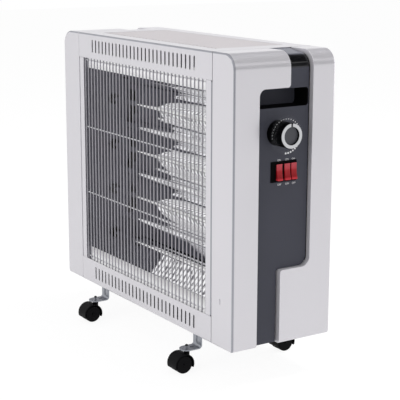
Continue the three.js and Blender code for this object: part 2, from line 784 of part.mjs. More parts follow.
// Rocker switches side by side in one housing, each on the housing's cross pin
const pivotX = panelX + rockerPivotProud;
const pivotZ = (switchBottom + switchTop) / 2;
const bayPitch = (bodyRear - bodyFront - rockerWall) / rockerCount;
const bayWidth = bayPitch - rockerWall;
const bayHalf = (switchTop - switchBottom) / 2 - rockerWall;
const bayFloor = pivotX - rockerHeel - 2 * gap;
const bayStart = (i) => bodyFront + rockerWall + i * bayPitch;
const housingFlange = box(panelX + gap, panelX + switchProud, switchFront, switchRear, switchBottom, switchTop);
const housingBody = box(
  panelX - switchBodyDepth, panelX + switchProud / 2, bodyFront, bodyRear, bodyBottom, bodyTop);
const bays = [];
for (let i = 0; i < rockerCount; i++) {
  const near = bayStart(i);
  bays.push(box(panelX + 2 * gap, half + overrun, near, near + bayWidth, pivotZ - bayHalf, pivotZ + bayHalf));
  bays.push(box(bayFloor, half, near, near + bayWidth, bodyBottom + rockerWall, bodyTop - rockerWall));
}
const crossPin = solidOf(rod(rockerPin / 2, bodyFront, bodyRear, Y, 10).translate(pivotX, 0, pivotZ));
const housing = housingFlange.add(housingBody).subtract(joined(bays)).add(crossPin);
place('switch_housing', geometryOf(housing), blackPlastic);

const rockerShape = new THREE.Shape();
rockerShape.moveTo(rockerNose, -rockerHalf);
rockerShape.quadraticCurveTo(2 * rockerDip - rockerNose, 0, rockerNose, rockerHalf);
rockerShape.lineTo(rockerPivotProud, rockerHalf);
rockerShape.lineTo(-rockerHeel, rockerPin);
rockerShape.lineTo(-rockerHeel, -rockerPin);
rockerShape.lineTo(rockerPivotProud, -rockerHalf);
const rockerBlock = solidOf(alongY(rockerShape, gap, bayWidth - gap, 6));
const rockerBore = solidOf(rod(rockerPin / 2 + gap, -overrun, bayWidth + overrun, Y, 10));
const rocker = geometryOf(rockerBlock.subtract(rockerBore));
for (let i = 0; i < rockerCount; i++) {
  const mesh = place(`rocker_${i + 1}`, rocker, redPlastic);
  mesh.position.set(pivotX, bayStart(i), pivotZ);
  mesh.rotation.y = -THREE.MathUtils.degToRad(rockerTilt);
}

// Foot brackets: one bent strip under each end, with round feet reaching past the front and rear
const footTop = bracketSheet - bracketDrop;
const footEnd = casterY + bracketWidth / 2;
const bracketRadius = bracketWidth / 2;
const bracketRoute = bent([
  at(-footEnd, footTop), at(-bracketLegY, footTop), at(-bracketLegY, -gap),
  at(bracketLegY, -gap), at(bracketLegY, footTop), at(footEnd, footTop),
], bracketBend, 2);
const bracketPlan = new THREE.Shape();
bracketPlan.absarc(bracketX, casterY, bracketRadius, 0, Math.PI);
bracketPlan.absarc(bracketX, -casterY, bracketRadius, Math.PI, 2 * Math.PI);
const beadRoom = box(
  bracketX - beadWidth, bracketX + beadWidth, -bracketLegY - weld, bracketLegY + weld, footTop + bracketBend, 0);
const bracketLayer = (near, far, width) => solidOf(
  alongX(layer(bracketRoute, near, far), bracketX - width / 2, bracketX + width / 2));
const bead = bracketLayer(weld - bracketSheet, -bracketSheet - beadDepth, beadWidth).intersect(beadRoom);
const groove = bracketLayer(weld, -beadDepth, beadWidth - 2 * beadDepth).intersect(beadRoom);
const pinHole = (y) => solidOf(
  rod(pinDiameter / 2 + gap, -groundClearance, 0, Z, 12).translate(bracketX, y, 0));
const bracket = bracketLayer(0, -bracketSheet, bracketWidth)
  .intersect(solidOf(alongZ(bracketPlan, -groundClearance, overrun, 4)))
  .add(bead).subtract(groove)
  .subtract(pinHole(casterY)).subtract(pinHole(-casterY));
place('right_foot_bracket', geometryOf(bracket), steel);
place('left_foot_bracket', mirrored(geometryOf(bracket)), steel);

// Casters, each made about its axle: a hood that swivels on a pin through the foot, a trail behind
// the axle, and two wheels on the hood's own axle
const hoodRadius = hoodDiameter / 2;
const footZ = footTop - bracketSheet - axleZ;
const cutAngle = Math.asin(hoodCut / hoodRadius);
const hoodShape = new THREE.Shape();
hoodShape.absarc(0, 0, hoodRadius, -cutAngle, Math.PI + cutAngle);
const boss = rod(bossDiameter / 2, 0, footZ - gap, Z, 14).translate(0, casterTrail, 0);
const wheelSpace = rod(wheelRadius + wheelRoom, hoodWeb / 2, hoodHalfWidth + overrun, X, 16);
const pinSpace = rod(pinDiameter / 2 + gap, footZ - pinDepth - 2 * gap, footZ, Z, 12).translate(0, casterTrail, 0);
const hood = geometryOf(solidOf(alongX(hoodShape, -hoodHalfWidth, hoodHalfWidth, 8))
  .add(solidOf(boss))
  .subtract(solidOf(wheelSpace)).subtract(solidOf(wheelSpace.clone().rotateZ(Math.PI)))
  .subtract(solidOf(pinSpace))
  .add(solidOf(rod(axleDiameter / 2, -hoodHalfWidth, hoodHalfWidth, X, 10))));

const wheelInner = hoodWeb / 2 + gap;
const wheelOuter = wheelInner + wheelWidth;
const wheelA = turned([
  [wheelBore / 2, wheelInner], [wheelRadius, wheelInner], [wheelRadius, wheelOuter - wheelRound],
  [wheelRadius - wheelRound, wheelOuter],
  [wheelHub / 2, wheelOuter - wheelDish], [wheelBore / 2, wheelOuter - wheelDish],
], X, 16);
const wheelB = mirrored(wheelA);
const pinFoot = footZ - pinDepth;
const pinTop = footZ + bracketSheet + gap;
const pin = turned([
  [0, pinFoot], [pinDiameter / 2, pinFoot], [pinDiameter / 2, pinTop], [pinHead / 2, pinTop],
  [pinHead / 2, pinTop + pinHeadHeight], [0, pinTop + pinHeadHeight],
], Z, 12).translate(0, casterTrail, 0);
for (const [sideName, x] of [['left', -bracketX], ['right', bracketX]]) {
  for (const [endName, y] of [['front', -casterY], ['rear', casterY]]) {
    const name = `${endName}_${sideName}_caster`;
    const caster = new THREE.Group();
    caster.position.set(x, y - casterTrail, axleZ);
    body.add(caster);
    place(`${name}_pin`, pin, steel, caster);
    place(`${name}_hood`, hood, blackPlastic, caster);
    place(`${name}_wheel_a`, wheelA, blackPlastic, caster);
    place(`${name}_wheel_b`, wheelB, blackPlastic, caster);
  }
}

// The floor under the middle of the whole heater, knob and casters included, is the origin
body.position.set(
  (recessDepth - knobLength) / 2, (casterTrail + hoodRadius - bracketRadius) / 2, groundClearance);

export default heater;
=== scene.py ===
"""The looks of a quartz heater on casters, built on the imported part.

Every section below makes one piece or one group of like pieces. Shapes are drawn in millimetres
from the middle of the body's underside, and the function piece() puts them in the part's frame.
"""
import math

import bmesh
import bpy
from mathutils import Matrix, Vector


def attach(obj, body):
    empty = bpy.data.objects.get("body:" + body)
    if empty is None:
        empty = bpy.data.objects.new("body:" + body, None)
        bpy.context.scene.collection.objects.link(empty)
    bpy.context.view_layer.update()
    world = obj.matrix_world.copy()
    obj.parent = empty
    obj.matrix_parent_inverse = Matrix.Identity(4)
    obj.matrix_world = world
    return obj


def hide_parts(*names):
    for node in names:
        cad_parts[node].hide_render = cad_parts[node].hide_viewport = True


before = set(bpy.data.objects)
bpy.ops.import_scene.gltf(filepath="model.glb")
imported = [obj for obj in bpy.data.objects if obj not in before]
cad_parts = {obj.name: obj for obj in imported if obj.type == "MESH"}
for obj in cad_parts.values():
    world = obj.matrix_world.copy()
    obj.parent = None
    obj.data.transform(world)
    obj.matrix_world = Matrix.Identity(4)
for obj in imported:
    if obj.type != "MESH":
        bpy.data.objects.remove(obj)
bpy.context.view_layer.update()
scene = bpy.context.scene

# Camera. It stands off the right front corner, a little above the heater, with a long lens.
lens = 107.2
camera_place = Matrix.Translation((1.6832, -1.0630, 0.6840))
camera_turn = Matrix.Rotation(math.radians(57.16), 4, "Z")
camera_tip = Matrix.Rotation(math.radians(90 - 12.44), 4, "X")
camera_roll = Matrix.Rotation(math.radians(0.15), 4, "Z")

camera = bpy.data.objects.new("camera", bpy.data.cameras.new("camera"))
camera.data.lens = lens
camera.data.sensor_width = 36
camera.matrix_world = camera_place @ camera_turn @ camera_tip @ camera_roll
scene.collection.objects.link(camera)
scene.camera = camera
scene.view_settings.view_transform = "Standard"

# Studio. A white room with dark strips on the ceiling and dark boards at the right and behind the
# camera, which give the rounded edges their darker bands; the darker lines along the caps' front edges
# and the sheets' folds and seams are painted shade. Three soft lamps light the heater, and a fourth
# shows only as a gleam on its edges. The floor is white and takes the shadow.


class Value:
    """What comes out of a node. A sum on it adds Math nodes to the same material."""

    def __init__(self, finish, socket):
        self.finish = finish
        self.socket = socket

    def math(self, operation, first, second):
        return self.finish.add("Math", {"operation": operation}, {0: first, 1: second})

    def __add__(self, other):
        return self.math("ADD", self, other)

    def __sub__(self, other):
        return self.math("SUBTRACT", self, other)

    def __rsub__(self, other):
        return self.math("SUBTRACT", other, self)

    def __mul__(self, other):
        return self.math("MULTIPLY", self, other)

    __radd__ = __add__
    __rmul__ = __mul__

    def above(self, level):
        return self.math("GREATER_THAN", self, level)

    def larger(self, other):
        return self.math("MAXIMUM", self, other)


class Finish:
    """The nodes of one material, or of the world."""

    def __init__(self, owner):
        owner.use_nodes = True
        self.tree = owner.node_tree
        self.tree.nodes.clear()
        self.owner = owner

    def add(self, kind, settings=None, sockets=None, out=0):
        node = self.tree.nodes.new("ShaderNode" + kind)
        for name, value in (settings or {}).items():
            if name == "stops":
                while len(node.color_ramp.elements) < len(value):
                    node.color_ramp.elements.new(1)
                for element, (position, colour) in zip(node.color_ramp.elements, value):
                    element.position = position
                    element.color = (*colour, 1)
            else:
                setattr(node, name, value)
        for name, value in (sockets or {}).items():
            if isinstance(value, Value):
                self.tree.links.new(value.socket, node.inputs[name])
            else:
                node.inputs[name].default_value = value
        return Value(self, node.outputs[out]) if node.outputs else None

    def place(self):
        """The point on the piece, in metres."""
        return self.add("TexCoord", out=3)

    def seen(self):
        """1 where the camera sees the surface directly, in a mirror or through glass."""
        camera_ray, glossy, through = (self.add("LightPath", out=i) for i in (0, 3, 6))
        return camera_ray.larger(glossy).larger(through)

    def noise(self, scale, detail=2, stretch=(1, 1, 1)):
        spot = self.add("Mapping", None, {"Vector": self.place(), "Scale": stretch})
        return self.add("TexNoise", None, {"Vector": spot, "Scale": scale, "Detail": detail})

    def mix(self, share, first, second):
        return self.add("Mix", {"data_type": "RGBA"}, {0: share, 6: first, 7: second}, out=2)

    def bump(self, height, depth, strength=1.0):
        return self.add("Bump", None, {"Strength": strength, "Distance": depth, "Height": height})

    def shade(self, sockets):
        shader = self.add("BsdfPrincipled", None, sockets)
        self.add("OutputMaterial", None, {"Surface": shader})
        return self.owner


def colour(code):
    """The colour that a six-digit code such as dddbe0 shows on the screen."""
    parts = [int(code[i:i + 2], 16) / 255 for i in (0, 2, 4)]
    return (*[((c + 0.055) / 1.055) ** 2.4 if c > 0.04045 else c / 12.92 for c in parts], 1)


def new_object(name, mesh):
    made = bpy.data.objects.new(name, mesh)
    scene.collection.objects.link(made)
    return made


room_light = 0.5
white = colour("ffffff")

world = bpy.data.worlds.new("room")
scene.world = world
room = Finish(world)
seen = room.seen()
strength = room_light + seen * (1 - room_light)
sky = room.add("Background", None, {"Color": white, "Strength": strength})
room.add("OutputWorld", None, {"Surface": sky})

floor_finish = Finish(bpy.data.materials.new("white floor"))
seen = floor_finish.seen()
speckle = floor_finish.noise(30)
plain = floor_finish.mix(speckle, colour("e4e4e4"), colour("eaeaea"))
paper = floor_finish.add("BsdfDiffuse", None, {"Color": plain})
shadowed = floor_finish.add("BsdfDiffuse", None, {"Color": (0.16, 0.16, 0.16, 1)})
glow = floor_finish.add("Emission", None, {"Color": white, "Strength": 0.9})
lit = floor_finish.add("AddShader", None, {0: shadowed, 1: glow})
both = floor_finish.add("MixShader", None, {0: seen, 1: paper, 2: lit})
floor_finish.add("OutputMaterial", None, {"Surface": both})

bm = bmesh.new()
bmesh.ops.create_grid(bm, x_segments=1, y_segments=1, size=9)
mesh = bpy.data.meshes.new("floor")
bm.to_mesh(mesh)
bm.free()
mesh.materials.append(floor_finish.owner)
new_object("floor", mesh)


def dark_card(name, bm, shade):
    """A dark surface of the room that only reflections show."""
    cloth = Finish(bpy.data.materials.new(name))
    weave = cloth.mix(cloth.noise(60), colour(shade), tuple(c * 1.3 for c in colour(shade)))
    cloth.shade({"Base Color": weave, "Roughness": 0.9})
    mesh = bpy.data.meshes.new(name)
    bm.to_mesh(mesh)
    bm.free()
    mesh.materials.append(cloth.owner)
    card = new_object(name, mesh)
    card.visible_camera = False
    card.visible_diffuse = False
    card.visible_shadow = False
    card.visible_transmission = False


def board(x0, x1, y0, y1, z):
    """A flat rectangle at height z."""
    bm = bmesh.new()
    bm.faces.new([bm.verts.new((x, y, z)) for x, y in ((x0, y0), (x1, y0), (x1, y1), (x0, y1))])
    return bm


def standing(place, turn, wide, high):
    """An upright rectangle round place, turned by turn degrees about the vertical."""
    bm = bmesh.new()
    bmesh.ops.create_grid(bm, x_segments=1, y_segments=1, size=1)
    stand = Matrix.Translation(place) @ Matrix.Rotation(math.radians(turn), 4, "Z")
    stand = stand @ Matrix.Rotation(math.radians(90), 4, "X") @ Matrix.Diagonal((wide / 2, high / 2, 1, 1))
    bmesh.ops.transform(bm, matrix=stand, verts=bm.verts)
    return bm


dark_card("ceiling_far_strip", board(-3.4, -0.7, -0.6, 4.6, 2.5), "505056")
dark_card("ceiling_middle_strip", board(-0.7, 0.1, -0.6, 4.6, 2.5), "7c7c82")
dark_card("ceiling_near_strip", board(0.1, 2.5, -0.6, 4.6, 2.5), "0c0c0e")
dark_card("board_on_the_right", standing((2.55, 1.65, 1.2), -57, 3.4, 1.2), "4a4a50")
dark_card("wall_behind_camera", standing((1.2, -1.9, 0.5), 33, 2, 2), "2c2c30")


def lamp(name, place, target, size, power, only_mirrored=False):
    """A square lamp aimed at target, which lights surfaces, or which only their gloss shows."""
    light = bpy.data.lights.new(name, "AREA")
    light.shape = "SQUARE"
    light.size = size
    light.energy = power
    made = new_object(name, light)
    aim = Vector(target) - Vector(place)
    made.matrix_world = Matrix.Translation(place) @ aim.to_track_quat("-Z", "Y").to_matrix().to_4x4()
    made.visible_camera = False
    made.visible_glossy = only_mirrored
    made.visible_diffuse = not only_mirrored


lamp("top_lamp", (0.35, 0.75, 2.4), (0, 0, 0.4), 1.0, 29)
lamp("front_lamp", (0.5, -2.6, 1.1), (0, 0, 0.3), 1.6, 20)
lamp("side_lamp", (2.6, -1.3, 1.3), (0.2, 0, 0.3), 1.6, 9)
lamp("edge_lamp", (0.9, 2.7, 0.7), (0.2, 0, 0.3), 1.2, 16, only_mirrored=True)

# End caps. Each is a silver plastic moulding in two halves, which clip over the ends of the
# sheet metal body and round over the top, with a Z-shaped recess between the halves.
silver = colour("dddbe0")
cap_edge = 0.9
cap_corner = 2.5
half, seam, front, rear, height = 275, 217, -94, 94, 456
top_radius, foot_radius = 25, 5
recess_front, recess_rear, recess_top, recess_step = -47.7, 51.7, 401.6, 119
strip_front, strip_rear = 9.2, -4.8
top_corner, inner_corner, step_corner = 11, 4.5, 15
slit_x, slit_z, slit_half, slit_reach = 240.5, 74, 0.8, 4.5
gland_x, gland_z, gland_seat_radius = 246, 40, 7.2
past = 6

home = Matrix.Translation((-0.015, 0.0084, 0.0625)) @ Matrix.Scale(0.001, 4)
along = {"X": Matrix(((0, 0, 1), (1, 0, 0), (0, 1, 0))), "Y": Matrix(((1, 0, 0), (0, 0, 1), (0, 1, 0))),
         "Z": Matrix.Identity(3)}


def block(corners, axis, start, end):
    """A block along an axis, whose outline runs through corners of two places and a radius."""
    bm = bmesh.new()
    verts = [bm.verts.new((u, v, start)) for u, v, *_ in corners]
    bm.faces.new(verts)
    for vert, (_, _, *radius) in zip(verts, corners):
        if radius:
            steps = max(3, min(14, round(radius[0] * 1.2)))
            bmesh.ops.bevel(bm, geom=[vert], offset=radius[0], offset_type="OFFSET", segments=steps,
                            profile=0.5, affect="VERTICES", material=-1)
    side = bmesh.ops.extrude_face_region(bm, geom=bm.faces[:])
    moved = [g for g in side["geom"] if isinstance(g, bmesh.types.BMVert)]
    bmesh.ops.translate(bm, verts=moved, vec=(0, 0, end - start))
    bmesh.ops.transform(bm, matrix=along[axis].to_4x4(), verts=bm.verts)
    bmesh.ops.recalc_face_normals(bm, faces=bm.faces)
    return bm


def rectangle(u0, u1, v0, v1, radius=0):
    return [(u, v, radius) if radius else (u, v) for u, v in ((u0, v0), (u1, v0), (u1, v1), (u0, v1))]


def cut(shape, tool, operation="DIFFERENCE"):
    """The shape without the tool, or with operation INTERSECT what the two share."""
    pair = []
    for bm in (shape, tool):
        mesh = bpy.data.meshes.new("cut")
        bm.to_mesh(mesh)
        bm.free()
        pair.append(new_object("cut", mesh))
    modifier = pair[0].modifiers.new("cut", "BOOLEAN")
    modifier.operation = operation
    modifier.solver = "EXACT"
    modifier.object = pair[1]
    done = pair[0].evaluated_get(bpy.context.evaluated_depsgraph_get())
    result = bmesh.new()
    result.from_mesh(done.to_mesh())
    done.to_mesh_clear()
    for made in pair:
        mesh = made.data
        bpy.data.objects.remove(made)
        bpy.data.meshes.remove(mesh)
    return result


def other_end(bm):
    """The same shape for the heater's other end."""
    twin = bm.copy()
    bmesh.ops.transform(twin, matrix=Matrix.Scale(-1, 4, (1, 0, 0)), verts=twin.verts)
    bmesh.ops.reverse_faces(twin, faces=twin.faces)
    return twin


def piece(name, bm, body, slot, materials, *nodes, edge=0, segments=3, crease=32):
    """Puts a shape in its place as a piece, with its hard edges kept or rounded by edge."""
    bmesh.ops.transform(bm, matrix=home, verts=bm.verts)
    for e in bm.edges:
        e.smooth = e.calc_face_angle(0) < math.radians(crease) or bool(edge)
    for f in bm.faces:
        f.smooth = True
    mesh = bpy.data.meshes.new(name)
    bm.to_mesh(mesh)
    bm.free()
    for material in materials if isinstance(materials, list) else [materials]:
        mesh.materials.append(material)
    made = new_object(name, mesh)
    if edge:
        round_over = made.modifiers.new("rounded edges", "BEVEL")
        round_over.width = edge / 1000
        round_over.segments = segments
        round_over.limit_method = "ANGLE"
        round_over.angle_limit = math.radians(crease)
        round_over.miter_outer = "MITER_ARC"
    shading = made.modifiers.new("shading", "WEIGHTED_NORMAL")
    shading.keep_sharp = True
    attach(made, body)
    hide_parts(*nodes)
    return made


def satin_silver(name, shade, metal, rough, grain):
    """Silver lacquer with fine flakes, faint flow marks and slight differences of gloss."""
    finish = Finish(bpy.data.materials.new(name))
    flake = finish.noise(2600, 2)
    flow = finish.noise(7, 3)
    low = tuple(c * 0.955 for c in shade[:3]) + (1,)
    base = finish.mix(flake * 0.5 + flow * 0.5, low, tuple(min(1, c * 1.045) for c in shade[:3]) + (1,))
    return finish.shade({"Base Color": base, "Metallic": metal, "Roughness": rough - 0.05 + flow * 0.1,
                         "Normal": finish.bump(finish.noise(grain, 2), 0.00004, 0.35)})


cap_finish = satin_silver("silver moulding", silver, 0.4, 0.3, 1400)
# Painted shade: a darker silver for the caps' rounded front edges, the sheets' front folds and cut ends and the
# stiles' sides in the seams, standing in for the shade and dark reflection there.
painted_shade_silver = satin_silver("painted shade silver", colour("a0a1a9"), 0.4, 0.3, 1400)
# Painted shade: near-black for the inner faces of the cover and tray, so that the slots look dark.
painted_shade_inside = satin_silver("painted shade inside", colour("1a1a1c"), 0.1, 0.6, 1400)


def mark(bm, chosen):
    """Gives each face the material that chosen picks from its middle and direction."""
    bm.normal_update()
    for f in bm.faces:
        f.material_index = int(chosen(f.calc_center_median(), f.normal))
    return bm


def cap_block():
    section = [(seam, 0), (half, 0, foot_radius), (half, height, top_radius), (seam, height)]
    bm = block(section, "Y", front, rear)
    ends = [e for e in bm.edges
            if abs(e.verts[0].co.y - e.verts[1].co.y) < 0.01
            and max(v.co.x for v in e.verts) > seam + 0.01]
    bmesh.ops.bevel(bm, geom=ends, offset=cap_corner, offset_type="OFFSET", segments=5, profile=0.5,
                    affect="EDGES", material=-1, clamp_overlap=True)
    return bm


front_outline = [(front - past, -past), (recess_front, -past), (recess_front, recess_top, top_corner),
                 (strip_front, recess_top, inner_corner), (strip_front, height + past), (front - past, height + past)]
rear_outline = [(rear + past, -past), (rear + past, height + past), (recess_rear, height + past),
                (recess_rear, recess_step, step_corner), (strip_rear, recess_step, inner_corner), (strip_rear, -past)]
cap_front = cut(cap_block(), block(front_outline, "X", seam - past, half + past), "INTERSECT")
cap_rear = cut(cap_block(), block(rear_outline, "X", seam - past, half + past), "INTERSECT")
slit = block(rectangle(slit_x - slit_half, slit_x + slit_half, slit_z - slit_reach, slit_z + slit_reach, 0.7),
             "Y", front - past, front + 4)
gland_seat = block(rectangle(gland_x - gland_seat_radius, gland_x + gland_seat_radius,
                             gland_z - gland_seat_radius, gland_z + gland_seat_radius, 7),
                   "Y", rear - 12, rear + past)


def on_painted_shade_fold(spot, way):
    """Whether a face of a cap is on the rounded edge round its front, which gets painted shade: a darker silver."""
    return way.y < -0.12 and spot.y < front + cap_corner and (abs(way.x) > 0.12 or way.z > 0.12)


left_front, left_rear = other_end(cap_front), other_end(cap_rear)
for name, bm, node in (("front_cap_left", left_front, "left_cap_front"),
                       ("rear_cap_left", left_rear, "left_cap_rear"),
                       ("front_cap_right", cut(cap_front, slit), "right_cap_front"),
                       ("rear_cap_right", cut(cap_rear, gland_seat), "right_cap_rear")):
    mark(bm, on_painted_shade_fold)
    piece(name, bm, "body", "silver_plastic", [cap_finish, painted_shade_silver], node, edge=cap_edge)

# Dark inserts. A dark grey plastic moulding fills each recess 8 mm below the caps' faces, with a
# narrow channel along its rear edge and a carry pocket let in below the top strip. The channel's bed
# and the pocket's lining are painted black as shade.
insert_x, insert_top, insert_corner, insert_foot = 267, 455, 447.5, 1.5
insert_shoulder, seam_lap = 17, 0.8
channel, channel_depth = 2.3, 0.8
fit = 0.3
pocket_x, pocket_floor, pocket_rim = 232, 371.5, 2


def grained(name, shade, rough, grain, depth, specular=0.5, spread=0.1):
    """Moulded plastic with a fine spark-eroded grain and slightly uneven gloss."""
    finish = Finish(bpy.data.materials.new(name))
    fine = finish.noise(grain, 3)
    broad = finish.noise(11, 3)
    low = tuple(c * (1 - spread) for c in shade[:3]) + (1,)
    high = tuple(c * (1 + spread) for c in shade[:3]) + (1,)
    return finish.shade({"Base Color": finish.mix(fine * 0.4 + broad * 0.6, low, high),
                         "Roughness": rough - 0.05 + broad * 0.1, "Specular IOR Level": specular,
                         "Normal": finish.bump(fine, depth, 0.5)})


# The moulding's base colour is painted by height: black over the rounded shoulder and lighter on the top, a painted
# reflection of the room's dark and bright parts; the coat follows the same bands.
polish = Finish(bpy.data.materials.new("dark moulding"))
fine, broad = polish.noise(1500, 3), polish.noise(11, 3)
level = polish.add("SeparateXYZ", None, {"Vector": polish.place()}, out=2)
painted_dark_band_and_gloss = polish.add("MapRange", None, {"Value": level, "From Min": 0.4915, "From Max": 0.4945})
painted_light_crown = polish.add("MapRange", None, {"Value": level, "From Min": 0.5102, "From Max": 0.5124})
insert_finish = polish.shade({
    "Base Color": polish.mix(painted_light_crown, polish.mix(painted_dark_band_and_gloss, polish.mix(fine * 0.4 + broad * 0.6, colour("44454e"),
                                                                  colour("4d4e58")), colour("0b0b0e")),
                             colour("74757f")),
    "Roughness": 0.42 + broad * 0.06, "Specular IOR Level": 0.16, "Coat Weight": painted_dark_band_and_gloss * 0.8 - painted_light_crown * 0.5,
    "Coat Roughness": 0.1, "Normal": polish.bump(fine, 0.00003, 0.5)})
# Painted shade: black for the channel's bed and the carry pocket's lining, where shade falls.
painted_shade_black = grained("painted shade moulding", colour("060607"), 0.6, 1500, 0.00004, 0.15)


def recess_outline(rear_gap):
    """The Z-shaped outline of the recess, less a gap along its rear edge and the fit elsewhere."""
    r, f, top, foot = recess_rear - rear_gap, recess_front + fit, height + past, -past
    return [(f, foot), (strip_rear - rear_gap, foot), (strip_rear - rear_gap, recess_step + fit, inner_corner),
            (r, recess_step + fit, step_corner), (r, top), (strip_front + fit, top),
            (strip_front + fit, recess_top - fit, inner_corner), (f, recess_top - fit, top_corner)]


def insert_block(inset):
    """The insert's section through its foot, face, shoulder and sloping top, over the full depth."""
    section = [(seam - seam_lap, insert_foot), (insert_x - inset, insert_foot),
               (insert_x - inset, insert_corner - inset, insert_shoulder), (seam - seam_lap, insert_top - inset)]
    return block(section, "Y", front, rear)


panel = cut(insert_block(0), block(recess_outline(channel), "X", seam - past, half), "INTERSECT")
pocket_front, pocket_rear, pocket_head = recess_front + pocket_rim, recess_rear - channel - 1, recess_top - pocket_rim
panel = cut(panel, block(rectangle(pocket_front, pocket_rear, pocket_floor, pocket_head, 5), "X", pocket_x, half))
switch_hole = block(rectangle(-17.5, 27, 258.4, 288, 1), "X", 258, half)
left_panel = other_end(panel)
right_panel = cut(panel, switch_hole)


def in_pocket(spot, way):
    """Whether a face of the panel lines the carry pocket, which is painted black as shade."""
    return (pocket_x + 0.01 < abs(spot.x) < insert_x - 0.01 and pocket_floor - 0.1 < spot.z < pocket_head + 0.1
            and pocket_front - 0.1 < spot.y < pocket_rear + 0.1)


mark(left_panel, in_pocket)
mark(right_panel, in_pocket)
bed = cut(insert_block(channel_depth), block(recess_outline(fit), "X", seam - past, half), "INTERSECT")
ahead = rectangle(recess_front - past, recess_rear - channel - 0.5, -past, height + past)
bed = cut(bed, block(ahead, "X", seam - past, half))
for side, shape, under in (("left", left_panel, other_end(bed)), ("right", right_panel, bed)):
    piece(f"{side}_panel", shape, "body", "dark_plastic", [insert_finish, painted_shade_black], f"{side}_insert", edge=0.5)
    piece(f"{side}_channel", under, "body", "black_plastic", painted_shade_black, f"{side}_insert")

# Sheet metal body. A cover and a tray of 1.2 mm steel are folded down at the front and rear and
# punched with a row of upright slots; two stiles close the front, and a punched panel the back.
sheet, fold = 1.2, 2.5
band, opening_top, middle, opening = 43.5, 412.5, 216.1, 200.2
slot_width, slot_length, slot_pitch, slot_count = 4, 22.6, 12.3, 28
vent_x, vent_y, vent_corner = 180, 66, 4
metal_finish = satin_silver("silver paint", colour("dddbe0"), 0.4, 0.32, 900)


def repeated(bm, places):
    """The shape once at each place."""
    first = bm.verts[:] + bm.edges[:] + bm.faces[:]
    for place in places[1:]:
        twin = bmesh.ops.duplicate(bm, geom=first)["geom"]
        moved = [g for g in twin if isinstance(g, bmesh.types.BMVert)]
        bmesh.ops.translate(bm, verts=moved, vec=Vector(place) - Vector(places[0]))
    return bm


def slots(z, count, pitch, width, length, y0, y1):
    """A centred row of upright round-ended slots at height z."""
    places = [((i - (count - 1) / 2) * pitch, 0, 0) for i in range(count)]
    x = places[0][0]
    one = block(rectangle(x - width / 2, x + width / 2, z - length / 2, z + length / 2, width * 0.46), "Y", y0, y1)
    return repeated(one, places)


def front_slots(z):
    return slots(z, slot_count, slot_pitch, slot_width, slot_length, front - past, front + past)


inner = fold - sheet
cover_outline = [(rear, opening_top), (rear, height, fold), (front, height, fold), (front, opening_top),
                 (front + sheet, opening_top), (front + sheet, height - sheet, inner),
                 (rear - sheet, height - sheet, inner), (rear - sheet, opening_top)]
cover = block(cover_outline, "X", -middle, middle)
vent_hole = rectangle(-vent_x, vent_x, -vent_y, vent_y, vent_corner)
cover = cut(cover, block(vent_hole, "Z", height - past, height + past))
cover = cut(cover, front_slots(height - band / 2))


def side_of_sheet(spot, way):
    """Material 1, a darker silver of painted shade, on the front folds and cut ends; 2, near-black painted shade, on
    the inside.
    """
    if abs(way.x) > 0.5 and abs(spot.x) > opening or way.y < -0.12 and way.z > 0.12 and spot.y < front + fold:
        return 1
    flat = abs(way.z) > 0.9 and (abs(spot.z - sheet) < 0.1 or abs(spot.z - height + sheet) < 0.1)
    return 2 if flat or abs(spot.y) > rear - sheet - 1.5 and way.y * spot.y < -1 else 0


sheet_finishes = [metal_finish, painted_shade_silver, painted_shade_inside]
mark(cover, side_of_sheet)
piece("top_cover_sheet", cover, "body", "silver_paint", sheet_finishes, "top_cover", edge=0.35, segments=2)

tray_outline = [(front, band), (front, 0, fold), (rear, 0, fold), (rear, band), (rear - sheet, band),
                (rear - sheet, sheet, inner), (front + sheet, sheet, inner), (front + sheet, band)]
tray = block(tray_outline, "X", -middle, middle)
tray = cut(tray, front_slots(band / 2))
mark(tray, side_of_sheet)
piece("base_tray_sheet", tray, "body", "silver_paint", sheet_finishes, "base_tray", edge=0.35, segments=2)

stile_return, notch = 12, 2.2
stile_outline = [(opening, front), (middle, front, fold), (middle, front + stile_return),
                 (middle - sheet, front + stile_return), (middle - sheet, front + sheet, inner),
                 (opening, front + sheet)]
stile = block(stile_outline, "Z", band + fit, opening_top - fit)
for z in (band, opening_top):
    corner = rectangle(middle - notch, middle + past, front - past, front + past)
    stile = cut(stile, block(corner, "Z", z - notch, z + notch))
for side, shape in (("left", other_end(stile)), ("right", stile)):
    # The stiles' folds and outer sides, seen in the seams beside the caps, get the darker silver of painted shade.
    mark(shape, lambda spot, way: abs(way.x) > 0.12 and abs(spot.x) > middle - fold)
    piece(f"{side}_stile_sheet", shape, "body", "silver_paint", [metal_finish, painted_shade_silver], f"{side}_stile",
          edge=0.3, segments=2)

back_slot_count, back_slot_pitch, back_slot_width, back_slot_length, back_slot_inset = 11, 32, 5, 30, 36
back = block(rectangle(-middle, middle, band + fit, opening_top - fit), "Y", rear - sheet, rear)
for z in (band + back_slot_inset, opening_top - back_slot_inset):
    back = cut(back, slots(z, back_slot_count, back_slot_pitch, back_slot_width, back_slot_length,
                           rear - past, rear + past))
piece("back_sheet", back, "body", "silver_paint", metal_finish, "back_panel", edge=0.3, segments=2)

# Top vent. A panel of finely perforated sheet is pressed up into the cover's opening, just short of
# flush, with a row of longer slots along its front edge.
vent_top, vent_gap, vent_sheet = height - 0.4, 0.4, 0.7
mesh_pitch, mesh_web, margin = 5.0, 1.6, 10
dash_x, dash_length, dash_near, dash_far, dash_pitch, dash_count = -176.2, 6, 3.8, 8.2, 10.5, 34
vent_finish = satin_silver("vent paint", colour("d5cfd2"), 0.3, 0.4, 900)

